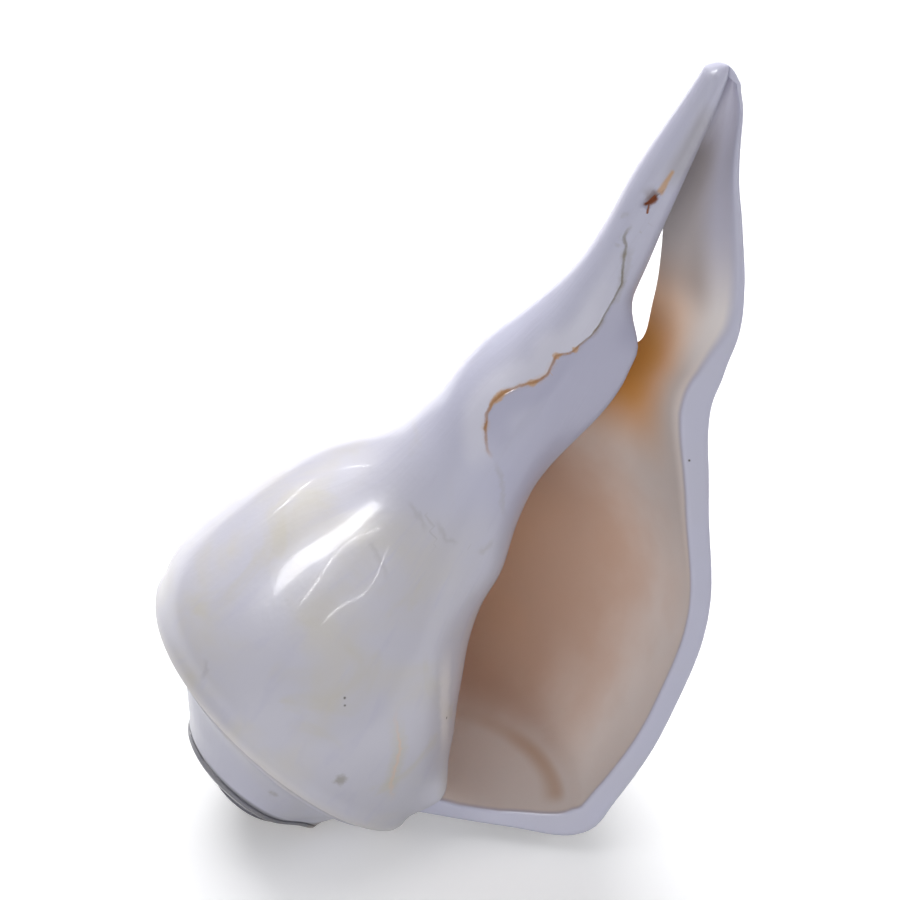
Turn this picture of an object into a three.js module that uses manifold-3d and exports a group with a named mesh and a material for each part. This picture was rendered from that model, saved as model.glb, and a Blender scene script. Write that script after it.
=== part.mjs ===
// A polished left-handed whelk shell, of the kind sold as a conch. It is one solid: a low spire,
// a strongly shouldered last whorl that is hollow from the mouth back round the pillar, and a long
// open canal. It stands on its shoulder and spire with the canal pointing up.
//
// The shell is grown in a frame of its own: +Z runs along the coiling axis from the apex (z = 0)
// to the tip of the canal, +X points at the outer lip, and the mouth faces -Y. "Turns" says how
// far round the coil a place lies behind the lip: 0 at the lip, 1 a full turn earlier.
// All lengths are in millimetres.

import * as THREE from "three";
import { mergeVertices } from "three/addons/utils/BufferGeometryUtils.js";
import Module from "manifold-3d";

// Driving dimensions
const LENGTH = 159; // apex to canal tip, along the coiling axis
const WHORL_GROWTH = 1.8; // each whorl of the spire is this many times the one before
const SPIRE_ROUNDING = 12; // shoulder radius below which the polished spire flattens into a dome
const SPIRE_TURNS = 5; // from the lip back to the apex
const HOLLOW_TURNS = 0.92; // from the mouth back to the end of the hollow

// Rails: lines of growth that run round the shell, from the ramp beside the spire to the tip of
// the canal. Each has its radius and its distance from the apex at the lip, half a turn back, a
// full turn back and two turns back, and the thickness of the wall. The first three rails shrink
// evenly beyond one turn, so they need no fourth place.
const RAILS = [
  { lip: [37.5, 24.6], half: [25.8, 17.8], full: [16.2, 9.6], wall: 3.0 }, // ramp
  { lip: [50.8, 31.0], half: [33.9, 23.4], full: [21.8, 13.2], wall: 3.6 }, // shoulder
  { lip: [52.2, 41.0], half: [34.8, 29.4], full: [23.6, 20.0], wall: 3.0 }, // bulge
  { lip: [50.2, 56.0], half: [32.8, 40.0], full: [23.0, 30.0], two: [12.1, 14.5], wall: 2.7 },
  { lip: [45.6, 76.0], half: [26.9, 54.5], full: [18.8, 40.0], two: [10.0, 20.0], wall: 3.0 },
  { lip: [35.4, 94.0], half: [18.2, 67.5], full: [14.4, 51.0], two: [8.0, 28.0], wall: 3.2 },
  { lip: [27.3, 106.0], half: [13.6, 80.0], full: [11.2, 66.0], two: [6.4, 44.0], wall: 3.2 }, // waist
  { lip: [24.4, 114.0], half: [12.2, 91.5], full: [8.8, 82.0], two: [5.6, 66.0], wall: 3.0 },
  { lip: [22.4, 122.0], half: [9.2, 103.0], full: [6.9, 96.0], two: [5.0, 86.0], wall: 2.6 },
  { lip: [19.6, 129.0], half: [7.0, 112.5], full: [5.6, 108.0], two: [4.4, 101.0], wall: 2.4 }, // canal
  { lip: [15.2, 136.5], half: [6.4, 122.0], full: [4.6, 119.0], two: [3.6, 115.0], wall: 2.2 },
  { lip: [10.0, 145.0], half: [6.0, 136.0], full: [2.6, 135.0], two: [2.2, 134.0], wall: 1.8 },
  { lip: [3.8, 158.0], half: [3.4, 156.5], full: [0.8, 156.0], two: [0.7, 156.0], wall: 1.2 }, // tip
];
const SHOULDER = RAILS[1];
const UPPER_RAILS = RAILS.slice(0, 4); // those on either side of the seat
const SEAT = 2.45; // along the profile, where the next whorl was laid on this one
const CORNER = 3; // along the profile, where the hollow's roof meets the whorl inside it

// The callus plate: a flange that stands out of the pillar along the inner edge of the mouth
const PLATE_REACH = 5.6; // out from the pillar
const PLATE_FROM = 76; // from the apex to where it starts to rise
const PLATE_PEAK = 102;
const PLATE_TO = 117;
const PLATE_FRONT = 0.05; // turns over which it rises from the face of the pillar
const PLATE_BACK = 0.03; // and falls away inside the mouth

// The canal leans a little to the left of the axis towards its tip
const CANAL_BEND = 4;
const CANAL_BEND_START = 105;

// The hollow reaches the tip near the mouth and only the waist further back
const CANAL_REACH = 13; // along the profile, at the mouth
const BODY_REACH = 8; // and behind the pillar
const CANAL_CLOSES = [0.3, 0.52]; // turns over which the one gives way to the other
const LEAST_GAP = 0.5; // between the pillar and the wall where the canal closes

// The slit ground through the back of the canal beside the pillar: its outline as seen from the
// mouth, across the axis and along it, and the slope at which it passes through the wall.
const SLIT = [
  [2.0, 130.0],
  [6.8, 122.5],
  [10.0, 113.6],
  [9.8, 110.2],
  [6.6, 110.4],
  [3.0, 118.0],
];
const SLIT_DEPTHS = [4, 24]; // behind the axis
const SLIT_SLOPE = Math.tan(THREE.MathUtils.degToRad(20));

// How it stands: three turns take the grown shell to its place on the table. The mouth tips up
// towards the front, the axis leans to the right, and the whole leans back onto its shoulder.
const MOUTH_TIP = THREE.MathUtils.degToRad(20);
const AXIS_LEAN = THREE.MathUtils.degToRad(34.5);
const LEAN_BACK = THREE.MathUtils.degToRad(-38.5);
const WEAR = 1.2; // depth of the flats worn on the shoulder and the spire where it stands
const WEAR_BLOCK = 4 * LENGTH; // side of the block that takes them off

// Facets
const TURN_STEPS = 36;
const PLACE_STEP = 0.5;
const UPPER = [0.5, 1, 1.5, 2]; // places along the profile between the suture and the seat
const LOWER = [SEAT, CORNER]; // and from the seat to the tip
for (let s = CORNER + PLACE_STEP; s <= RAILS.length; s += PLACE_STEP) LOWER.push(s);
const SLIT_STEPS = 20;

const wasm = await Module();
wasm.setup();

const { lerp, smoothstep } = THREE.MathUtils;

// Smooth curve through three values at 0, 0.5 and 1 turns, even in proportion.
function throughThree(atLip, atHalf, atFull, turns) {
  const powers = [(1 - turns) * (1 - 2 * turns), 4 * turns * (1 - turns), turns * (2 * turns - 1)];
  return atLip ** powers[0] * atHalf ** powers[1] * atFull ** powers[2];
}

// How much of its height the polished spire keeps at a shoulder of this radius.
function dome(radius) {
  return 1 - Math.exp(-radius / SPIRE_ROUNDING);
}

// The place of a rail, as radius and distance from the apex.
function railAt(rail, turns) {
  if (turns <= 1) {
    const { lip, half, full } = rail;
    const [radius, height] = [0, 1].map((k) => throughThree(lip[k], half[k], full[k], turns));
    return new THREE.Vector2(radius, height);
  }
  const [radius, height] = rail.full;
  if (rail.two) {
    const back = turns - 1;
    return new THREE.Vector2(
      radius * (rail.two[0] / radius) ** back,
      height * (rail.two[1] / height) ** back,
    );
  }
  const copy = WHORL_GROWTH ** (1 - turns);
  const flatten = dome(SHOULDER.full[0] * copy) / dome(SHOULDER.full[0]);
  return new THREE.Vector2(radius * copy, height * copy * flatten);
}

// Where the next whorl sits on the whorl at this place.
function seatAt(turns) {
  const curve = new THREE.SplineCurve(UPPER_RAILS.map((rail) => railAt(rail, turns)));
  return curve.getPoint((SEAT - 1) / (UPPER_RAILS.length - 1));
}

// Outline of a whorl in the half plane at this place, from its suture to the tip of the canal.
// A place along it counts the rails: 0 is the suture and 1 the first rail.
function profileAt(turns) {
  return new THREE.SplineCurve([seatAt(turns + 1), ...RAILS.map((rail) => railAt(rail, turns))]);
}

// A place on the outside, with the callus plate standing out of it.
function outerPoint(turns, along) {
  const point = profileAt(turns).getPoint(along / RAILS.length);
  const rise =
    smoothstep(point.y, PLATE_FROM, PLATE_PEAK) * (1 - smoothstep(point.y, PLATE_PEAK, PLATE_TO));
  const away = turns < 1 ? (1 - turns) / PLATE_FRONT : (turns - 1) / PLATE_BACK;
  point.x += PLATE_REACH * rise * Math.exp(-away);
  return point;
}

// A place on the inside of the wall.
function wallPoint(turns, along) {
  const curve = profileAt(turns);
  const place = along / RAILS.length;
  const rail = Math.min(Math.max(Math.floor(along), 1), RAILS.length - 1);
  const share = Math.max(along - rail, 0);
  const wall = lerp(RAILS[rail - 1].wall, RAILS[rail].wall, share);
  const tangent = curve.getTangent(place);
  const inwards = new THREE.Vector2(-tangent.y, tangent.x);
  return curve.getPoint(place).addScaledVector(inwards, wall);
}

// The same place along the profile, drawn in to how far the hollow reaches at these turns.
function withinHollow(along, turns) {
  const reach = lerp(CANAL_REACH, BODY_REACH, smoothstep(turns, ...CANAL_CLOSES));
  if (along <= CORNER) return along;
  return CORNER + ((along - CORNER) * (reach - CORNER)) / (RAILS.length - CORNER);
}

// Radius of a row of points at a distance from the apex.
function radiusAt(row, height) {
  const next = row.findIndex((p) => p.y > height);
  if (next <= 0) return row[next === 0 ? 0 : row.length - 1].x;
  const [a, b] = [row[next - 1], row[next]];
  return lerp(a.x, b.x, (height - a.y) / (b.y - a.y));
}

// A closed triangle mesh as a solid.
function solidOf(positions, triangles) {
  return new wasm.Manifold(
    new wasm.Mesh({
      numProp: 3,
      vertProperties: new Float32Array(positions),
      triVerts: new Uint32Array(triangles),
    }),
  );
}

// The whole shell, as one closed surface that runs over the outside, in at the mouth, round the
// hollow and back along its wall to the lip.
function grownShell() {
  const positions = [];
  const triangles = [];
  const quad = (a, b, c, d) => triangles.push(a, b, c, a, c, d);
  const vertex = (point, step) => {
    const angle = (2 * Math.PI * step) / TURN_STEPS;
    return positions.push(point.x * Math.cos(angle), point.x * Math.sin(angle), point.y) / 3 - 1;
  };
  // Joins neighbouring rows of vertices, one at each step round the coil
  const skin = (rows, inwards) => {
    for (let j = 0; j + 1 < rows.length; j++) {
      for (let i = 0; i + 1 < rows[j].length; i++) {
        const [a, b, c, d] = [rows[j][i], rows[j + 1][i], rows[j + 1][i + 1], rows[j][i + 1]];
        if (inwards) quad(d, c, b, a);
        else quad(a, b, c, d);
      }
    }
  };
  const steps = (count) => Array.from({ length: count + 1 }, (v, j) => j);
  const spireEnd = Math.round(SPIRE_TURNS * TURN_STEPS);
  const hollowEnd = Math.round(HOLLOW_TURNS * TURN_STEPS);

  // Outside: from each suture over the shoulder to the seat of the next whorl
  const seats = steps(spireEnd + TURN_STEPS).map((j) => vertex(seatAt(j / TURN_STEPS), j));
  const upper = steps(spireEnd).map((j) => [
    seats[j + TURN_STEPS],
    ...UPPER.map((along) => vertex(outerPoint(j / TURN_STEPS, along), j)),
    seats[j],
  ]);
  skin(upper);

  // From the seat to the tip: once round the outside, then on along the pillar inside the hollow
  const lowerPoints = steps(TURN_STEPS + hollowEnd).map((j) => {
    const turns = j / TURN_STEPS;
    return LOWER.map((along) => outerPoint(turns, turns > 1 ? withinHollow(along, turns - 1) : along));
  });
  const lower = lowerPoints.map((row, j) => [seats[j], ...row.slice(1).map((point) => vertex(point, j))]);
  skin(lower.slice(0, TURN_STEPS + 1));
  const pillar = lower.slice(TURN_STEPS).map((row) => row.slice(1));
  skin(pillar);

  // Inside of the wall, from its corner with the pillar to the tip
  const inner = steps(hollowEnd).map((j) => {
    const turns = j / TURN_STEPS;
    const pillarRow = lowerPoints[j + TURN_STEPS].slice(1);
    const rest = [...UPPER, ...LOWER].map((along) => {
      const point = wallPoint(turns, withinHollow(along, turns));
      point.x = Math.max(point.x, radiusAt(pillarRow, point.y) + LEAST_GAP);
      return vertex(point, j);
    });
    return [pillar[j][0], ...rest];
  });
  skin(inner, true);

  // Floor of the canal, between the wall and the pillar
  skin(inner.map((row, j) => [row.at(-1), pillar[j].at(-1)]), true);

  // Lip: between the outside and the inside of the wall at the mouth
  const lipEdge = [...upper[0], ...lower[0].slice(1)];
  skin([inner[0], lipEdge]);

  // Tip of the canal, apex, and the far end of the hollow
  const fan = (loop, centre) => {
    const middle = positions.push(...centre) / 3 - 1;
    loop.forEach((v, k) => triangles.push(middle, v, loop[(k + 1) % loop.length]));
  };
  const tips = lower.slice(0, TURN_STEPS + 1).map((row) => row.at(-1));
  fan([...tips, inner[0].at(-1)], [0, 0, LENGTH]);
  const apexEdge = seats.slice(spireEnd).reverse();
  fan([...apexEdge, ...upper[spireEnd].slice(1, -1).reverse()], [0, 0, 0]);
  const farWall = inner[hollowEnd];
  const farPillar = pillar[hollowEnd];
  const middleOf = (row) => row[Math.floor(row.length / 2)];
  const centre = [0, 1, 2].map(
    (k) => (positions[3 * middleOf(farWall) + k] + positions[3 * middleOf(farPillar) + k]) / 2,
  );
  fan([...farWall, ...farPillar.slice(1).reverse()], centre);

  return solidOf(positions, triangles);
}

// A three.js geometry as a solid.
function solidOfGeometry(geometry) {
  geometry.deleteAttribute("normal");
  geometry.deleteAttribute("uv");
  const merged = mergeVertices(geometry);
  return solidOf(merged.attributes.position.array, merged.index.array);
}

// The prism that opens the slit.
function slitCutter() {
  const shape = new THREE.Shape();
  const [first, ...others] = SLIT.map(([x, z]) => new THREE.Vector2(x, z));
  shape.moveTo(first.x, first.y);
  shape.splineThru([...others, first]);
  const [near, far] = SLIT_DEPTHS;
  const prism = new THREE.ExtrudeGeometry(shape, {
    depth: far - near,
    steps: 1,
    bevelEnabled: false,
    curveSegments: SLIT_STEPS,
  });
  const place = prism.attributes.position;
  for (let k = 0; k < place.count; k++) {
    const y = far - place.getZ(k);
    place.setXYZ(k, place.getX(k), y, place.getY(k) - y * SLIT_SLOPE);
  }
  return solidOfGeometry(prism);
}

// Bends the canal and turns the shell to the way it stands.
function standing(grown) {
  const { vertProperties, triVerts } = grown.getMesh();
  const turn = new THREE.Matrix4()
    .makeRotationX(LEAN_BACK)
    .multiply(new THREE.Matrix4().makeRotationY(AXIS_LEAN))
    .multiply(new THREE.Matrix4().makeRotationX(MOUTH_TIP));
  const positions = [];
  const point = new THREE.Vector3();
  for (let k = 0; k < vertProperties.length; k += 3) {
    point.fromArray(vertProperties, k);
    const along = Math.max(0, (point.z - CANAL_BEND_START) / (LENGTH - CANAL_BEND_START));
    point.x -= CANAL_BEND * along * along;
    positions.push(...point.applyMatrix4(turn));
  }
  return solidOf(positions, triVerts);
}

// Takes off what lies below the height of the wear flats.
function worn(stood) {
  const block = new THREE.BoxGeometry(WEAR_BLOCK, WEAR_BLOCK, WEAR_BLOCK);
  block.translate(0, 0, stood.boundingBox().min[2] + WEAR - WEAR_BLOCK / 2);
  return stood.subtract(solidOfGeometry(block));
}

const finished = worn(standing(grownShell().subtract(slitCutter()))).getMesh();
const geometry = new THREE.BufferGeometry();
geometry.setAttribute("position", new THREE.BufferAttribute(finished.vertProperties, 3));
geometry.setIndex(new THREE.BufferAttribute(finished.triVerts, 1));
geometry.computeVertexNormals();
geometry.computeBoundingBox();

const polished = new THREE.MeshStandardMaterial({ color: 0xd9d6de, roughness: 0.25, metalness: 0 });
const shell = new THREE.Mesh(geometry, polished);
shell.name = "shell";
const { min, max } = geometry.boundingBox;
shell.position.set(-(min.x + max.x) / 2, -(min.y + max.y) / 2, -min.z);

const part = new THREE.Group();
part.add(shell);

export default part;
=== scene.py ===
"""A polished left-handed whelk shell, of the kind sold as a conch, standing on its shoulder.

The shell is grown in a frame of its own, in millimetres: +Z runs along the coiling axis from the
apex to the tip of the canal, +X points at the outer lip and the mouth faces -Y. A place on it has
two numbers. "Turns" says how far round the coil it lies behind the lip, and "along" counts the
growth rails from the suture (0) to the tip of the canal (13).
"""

import logging
import math
from dataclasses import dataclass, field
from enum import Enum

import bpy
import numpy as np
from mathutils import Euler, Matrix, Vector, kdtree


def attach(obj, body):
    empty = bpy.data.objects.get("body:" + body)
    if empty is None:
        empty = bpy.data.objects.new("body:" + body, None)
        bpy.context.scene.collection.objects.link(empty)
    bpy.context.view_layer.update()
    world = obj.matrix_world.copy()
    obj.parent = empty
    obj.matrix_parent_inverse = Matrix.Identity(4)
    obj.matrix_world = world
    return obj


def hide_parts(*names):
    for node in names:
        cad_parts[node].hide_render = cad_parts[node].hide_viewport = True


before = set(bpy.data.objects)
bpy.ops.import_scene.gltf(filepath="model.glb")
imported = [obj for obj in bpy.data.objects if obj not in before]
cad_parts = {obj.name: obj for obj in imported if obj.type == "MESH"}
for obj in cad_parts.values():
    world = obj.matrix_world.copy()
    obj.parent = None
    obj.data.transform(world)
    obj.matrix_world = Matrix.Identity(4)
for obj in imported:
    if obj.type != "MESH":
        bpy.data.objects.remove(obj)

LOG = logging.getLogger("shell")
MM = 0.001
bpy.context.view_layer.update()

Pair = tuple[float, float]
Span = tuple[float, float]
Place = tuple[float, float, float]


def smooth(value: np.ndarray, low: float, high: float) -> np.ndarray:
    """Rises smoothly from 0 at low to 1 at high."""
    share = np.clip((np.asarray(value, float) - low) / (high - low), 0.0, 1.0)
    return share * share * (3.0 - 2.0 * share)


def bell(value: np.ndarray, middle: float, width: float | np.ndarray) -> np.ndarray:
    """A smooth bump of height 1 at middle, that falls to 1/e at width."""
    return np.exp(-(((np.asarray(value, float) - middle) / width) ** 2))


@dataclass(frozen=True)
class Rail:
    """A line of growth round the shell.

    Each place is a radius and a distance from the apex: at the lip, half a turn back, a full turn
    back and two turns back. A rail with no fourth place shrinks evenly round the spire. The wall
    and its ground edge at the lip are thicknesses.
    """

    lip: Pair
    half: Pair
    full: Pair
    wall: float
    edge: float
    two: Pair | None = None


RAILS = (
    Rail((37.5, 23.1), (25.6, 18.0), (16.2, 9.6), 3.0, 2.7),
    Rail((50.0, 30.5), (31.9, 24.2), (21.8, 13.2), 3.6, 4.6),
    Rail((51.8, 41.0), (34.7, 29.6), (23.6, 20.0), 3.0, 3.8),
    Rail((51.2, 56.2), (32.8, 40.0), (23.0, 30.0), 2.7, 3.4, (12.1, 14.5)),
    Rail((46.6, 76.2), (26.5, 54.5), (18.8, 40.0), 3.0, 3.5, (10.0, 20.0)),
    Rail((35.1, 94.0), (16.7, 68.2), (14.4, 51.0), 3.2, 4.0, (8.0, 28.0)),
    Rail((27.3, 106.0), (13.1, 80.0), (11.2, 66.0), 3.2, 5.0, (6.4, 44.0)),
    Rail((25.1, 114.0), (12.0, 91.5), (8.8, 82.0), 3.0, 4.4, (5.6, 66.0)),
    Rail((23.4, 122.0), (8.5, 103.0), (6.9, 96.0), 2.6, 3.2, (5.0, 86.0)),
    Rail((20.1, 129.0), (6.2, 112.5), (5.6, 108.0), 2.4, 2.6, (4.4, 101.0)),
    Rail((15.3, 136.5), (5.5, 122.0), (4.6, 119.0), 2.2, 2.3, (3.6, 115.0)),
    Rail((9.6, 145.2), (5.7, 136.0), (2.6, 135.0), 1.8, 1.8, (2.2, 134.0)),
    Rail((4.2, 157.5), (3.5, 156.2), (0.9, 157.2), 1.2, 1.2, (0.8, 157.2)),
)
TIP = float(len(RAILS))
SHOULDER = 1


@dataclass
class Growth:
    """The law by which the shell grows: where its outside and the inside of its wall lie."""

    length: float = 158.7
    whorl_growth: float = 1.97
    spire_rounding: float = 12.0
    settling: float = 0.25
    seat: float = 2.45
    spire_seat: float = 2.32
    seat_turns: Span = (0.22, 0.45)
    corner: float = 3.0
    plate_reach: float = 5.6
    plate_heights: tuple[float, float, float] = (76.0, 102.0, 117.0)
    plate_front: float = 0.05
    plate_back: float = 0.03
    plate_edge: float = 0.3
    canal_reach: float = 13.0
    body_reach: float = 8.0
    canal_closes: Span = (0.3, 0.52)
    least_gap: float = 0.5
    lip_round: float = 0.5
    lip_round_ends: Pair = (0.5, 0.6)
    edge_fade: float = 12.0
    bevel_run: float = 7.0
    bevel_edge: float = 0.8
    bevel_places: Span = (7.2, 9.6)
    groove_ends: Span = (12.0, 13.0)
    groove_turns: float = 0.3
    groove_depth: float = 1.5
    callus: float = 4.2
    callus_places: float = 0.62
    callus_turns: Span = (0.02, 0.16)
    keel_turns: Span = (0.37, 0.51)
    keel_size: float = 30.0
    keel_bells: tuple[tuple[float, float, float], ...] = (
        (1.5, 2.2, 0.26),
        (-0.75, 1.72, 0.08),
        (0.35, 1.56, 0.07),
        (-1.6, 0.95, 0.4),
        (0.7, 0.13, 0.1),
    )

    def __post_init__(self) -> None:
        """Takes the rails' places as logarithms, since the shell grows in proportion."""
        self.lip = np.log([rail.lip for rail in RAILS])
        self.half = np.log([rail.half for rail in RAILS])
        self.full = np.log([rail.full for rail in RAILS])
        self.walls = np.array([rail.wall for rail in RAILS])
        self.edges = np.array([rail.edge for rail in RAILS])
        self.first_rate = self.lip - 4.0 * self.half + 3.0 * self.full
        settle = self.settling * (1.0 - math.exp(-1.0 / self.settling))
        self.last_rate = np.full_like(self.full, -math.log(self.whorl_growth))
        for k, rail in enumerate(RAILS):
            if rail.two is not None:
                fall = np.log(rail.two) - self.full[k]
                self.last_rate[k] = (fall - self.first_rate[k] * settle) / (1.0 - settle)

    def rail_lines(self, turns: np.ndarray) -> np.ndarray:
        """Where every rail lies.

        Args:
            turns: places round the coil.

        Returns:
            Radius and distance from the apex, by turn and rail.
        """
        t = np.minimum(turns, 1.0)[:, None, None]
        near = (1 - t) * (1 - 2 * t) * self.lip + 4 * t * (1 - t) * self.half + t * (2 * t - 1) * self.full
        back = np.maximum(turns - 1.0, 0.0)[:, None, None]
        eased = self.settling * (1.0 - np.exp(-back / self.settling))
        lines = np.exp(near + self.last_rate * back + (self.first_rate - self.last_rate) * eased)
        spire = [k for k, rail in enumerate(RAILS) if rail.two is None]
        lines[:, spire, 1] *= self.flattening(lines[:, SHOULDER, 0], turns)[:, None]
        return lines

    def flattening(self, shoulder: np.ndarray, turns: np.ndarray) -> np.ndarray:
        """How much of its height the polished spire keeps.

        Args:
            shoulder: the shoulder's radius at each turn.
            turns: places round the coil.

        Returns:
            The share that is kept at each turn.
        """
        start = math.exp(self.full[SHOULDER, 0])
        whole = 1.0 - math.exp(-start / self.spire_rounding)
        kept = (1.0 - np.exp(-shoulder / self.spire_rounding)) / whole
        return np.where(turns > 1.0, kept, 1.0)

    def seat_at(self, turns: np.ndarray) -> np.ndarray:
        """Where along the whorl before it the shell sits at each turn."""
        return self.seat + (self.spire_seat - self.seat) * smooth(turns, *self.seat_turns)

    @staticmethod
    def spline(knots: np.ndarray, along: np.ndarray) -> np.ndarray:
        """A smooth curve through knots, one curve for each turn.

        Args:
            knots: by turn and knot, two coordinates each.
            along: places counted in knots, by turn and place.

        Returns:
            The points, by turn and place.
        """
        last = knots.shape[1] - 1
        k = np.clip(np.floor(along).astype(int), 0, last - 1)
        t = (along - k)[..., None]
        row = np.arange(len(knots))[:, None]
        p0, p1, p2, p3 = (knots[row, np.clip(k + step, 0, last)] for step in (-1, 0, 1, 2))
        ahead = t - 1.0
        first = p1 + (p2 - p0) / 2 * t + (p2 - 2 * p1 + p0) / 2 * t * t
        second = p2 + (p3 - p1) / 2 * ahead + (p3 - 2 * p2 + p1) / 2 * ahead * ahead
        weight = t * t * (3 - 2 * t)
        return first * (1 - weight) + second * weight

    def profile(self, turns: np.ndarray, along: np.ndarray) -> tuple[np.ndarray, np.ndarray]:
        """Outline of the whorl in the half plane at each turn.

        Args:
            turns: places round the coil.
            along: places along the outline, by turn and place.

        Returns:
            The points and the unit normals that point into the wall, by turn and place.
        """
        seats = self.spline(self.rail_lines(turns + 1.0)[:, :4], self.seat_at(turns)[:, None] - 1.0)
        knots = np.concatenate([seats, self.rail_lines(turns)], axis=1)
        step = 0.01
        before = self.spline(knots, np.maximum(along - step, 0.0))
        after = self.spline(knots, np.minimum(along + step, TIP))
        tangent = after - before
        tangent /= np.linalg.norm(tangent, axis=-1, keepdims=True)
        return self.spline(knots, along), np.stack([-tangent[..., 1], tangent[..., 0]], axis=-1)

    def rounding(self, turns: np.ndarray, along: np.ndarray, radius: np.ndarray) -> np.ndarray:
        """How far a face of the wall draws in where it turns over the lip's edge.

        Args:
            turns: places round the coil.
            along: places along the outline, by turn and place.
            radius: distance from the axis, by turn and place.

        Returns:
            The distance, by turn and place.
        """
        gap = np.minimum(2.0 * math.pi * radius * turns[:, None], self.lip_round)
        drawn = self.lip_round - np.sqrt(self.lip_round**2 - (self.lip_round - gap) ** 2)
        first, last = self.lip_round_ends
        return drawn * smooth(along, 0.0, first) * (1.0 - smooth(along, TIP - last, TIP))

    def outside(self, turns: np.ndarray, along: np.ndarray) -> np.ndarray:
        """Points of the outside, with the callus plate standing out of the pillar.

        Args:
            turns: places round the coil.
            along: places along the outline, one list or one list for each turn.

        Returns:
            The points in the growth frame, by turn and place.
        """
        along = np.broadcast_to(along, (len(turns), np.shape(along)[-1]))
        points, inwards = self.profile(turns, along)
        radius, height = points[..., 0], points[..., 1]
        start, peak, end = self.plate_heights
        rise = smooth(height, start, peak) * (1.0 - smooth(height, peak, end))
        away = np.where(turns < 1.0, (1.0 - turns) / self.plate_front, (turns - 1.0) / self.plate_back)
        blunt = np.sqrt(away**2 + self.plate_edge**2) - self.plate_edge
        radius = radius + self.plate_reach * rise * np.exp(-blunt)[:, None]
        drawn = self.rounding(turns, along, radius) - self.keel(turns, along, radius)
        placed = np.stack([radius, height], axis=-1) + inwards * drawn[..., None]
        return self.round_axis(turns, placed)

    def keel(self, turns: np.ndarray, along: np.ndarray, radius: np.ndarray) -> np.ndarray:
        """How far the shoulder's keel and the grooves below it stand out, in proportion to the whorl."""
        bells = sum(rise * bell(along, middle, width) for rise, middle, width in self.keel_bells)
        return bells * radius / self.keel_size * smooth(turns, *self.keel_turns)[:, None]

    def within(self, turns: np.ndarray, along: np.ndarray) -> np.ndarray:
        """Places along the outline drawn in to how far the hollow reaches.

        Args:
            turns: places round the coil.
            along: places along the outline, by turn and place.

        Returns:
            The places drawn in, by turn and place.
        """
        reach = self.canal_reach + (self.body_reach - self.canal_reach) * smooth(turns, *self.canal_closes)
        share = (reach[:, None] - self.corner) / (TIP - self.corner)
        return np.where(along <= self.corner, along, self.corner + (along - self.corner) * share)

    def thickness(self, turns: np.ndarray, along: np.ndarray, radius: np.ndarray) -> np.ndarray:
        """Thickness of the wall, with the callus in the mouth's lower corner and the canal's bevelled edge.

        Args:
            turns: places round the coil.
            along: places along the outline, by turn and place.
            radius: distance from the axis, by turn and place.

        Returns:
            The thickness, by turn and place.
        """
        counted = np.arange(1, len(RAILS) + 1)
        wall, edge = np.interp(along, counted, self.walls), np.interp(along, counted, self.edges)
        back = 2.0 * math.pi * radius * turns[:, None]
        wall = wall + (edge - wall) * np.exp(-((back / self.edge_fade) ** 2))
        share = 1.0 - np.minimum(back / self.bevel_run, 1.0)
        bevel = (wall - self.bevel_edge) * (1.0 - np.sqrt(1.0 - share**2))
        wall = wall - np.maximum(bevel, 0.0) * smooth(along, *self.bevel_places)
        filled = np.maximum(1.0 - along / self.callus_places, 0.0) ** 2
        return wall + self.callus * filled * (1.0 - smooth(turns, *self.callus_turns))[:, None]

    def inside(self, turns: np.ndarray, along: np.ndarray, pillar: np.ndarray) -> np.ndarray:
        """Points of the inside of the wall.

        Args:
            turns: places round the coil.
            along: places along the outline.
            pillar: points of the pillar that faces the wall, by turn and place.

        Returns:
            The points in the growth frame, by turn and place.
        """
        drawn_in = self.within(turns, np.broadcast_to(along, (len(turns), len(along))))
        points, inwards = self.profile(turns, drawn_in)
        wall = self.thickness(turns, drawn_in, points[..., 0])
        wall = wall - self.rounding(turns, drawn_in, points[..., 0])
        points = points + inwards * wall[..., None]
        for row, facing in zip(points, pillar):
            across = np.hypot(facing[:, 0], facing[:, 1])
            row[:, 0] = np.maximum(row[:, 0], np.interp(row[:, 1], facing[:, 2], across) + self.least_gap)
        placed = self.round_axis(turns, points)
        pillar_edge = self.outside(np.ones(len(turns)), drawn_in)
        share = np.minimum(turns / self.groove_turns, 1.0)[:, None, None]
        shallow = placed[:1] * (1.0 - share) + pillar_edge * share
        shallow[..., 1] += self.groove_depth * np.sin(math.pi * share[..., 0])
        return self.shoaled(placed, shallow, drawn_in)

    def shoaled(self, points: np.ndarray, shallow: np.ndarray, along: np.ndarray) -> np.ndarray:
        """Draws points of the canal up to shallow ones near the tip, so that its groove runs out."""
        return points + (shallow - points) * smooth(along, *self.groove_ends)[..., None]

    @staticmethod
    def round_axis(turns: np.ndarray, points: np.ndarray) -> np.ndarray:
        """Turns points of the half planes to their places round the axis.

        Args:
            turns: places round the coil.
            points: radius and distance from the apex, by turn and place.

        Returns:
            The points in the growth frame, by turn and place.
        """
        angle = 2.0 * math.pi * turns[:, None]
        radius, height = points[..., 0], points[..., 1]
        return np.stack([radius * np.cos(angle), radius * np.sin(angle), height], axis=-1)


@dataclass(frozen=True)
class Dab:
    """A soft push on the grown surface: its place, its reach and how far it moves, in millimetres."""

    place: Place
    reach: float
    move: tuple[float, float, float]


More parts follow.
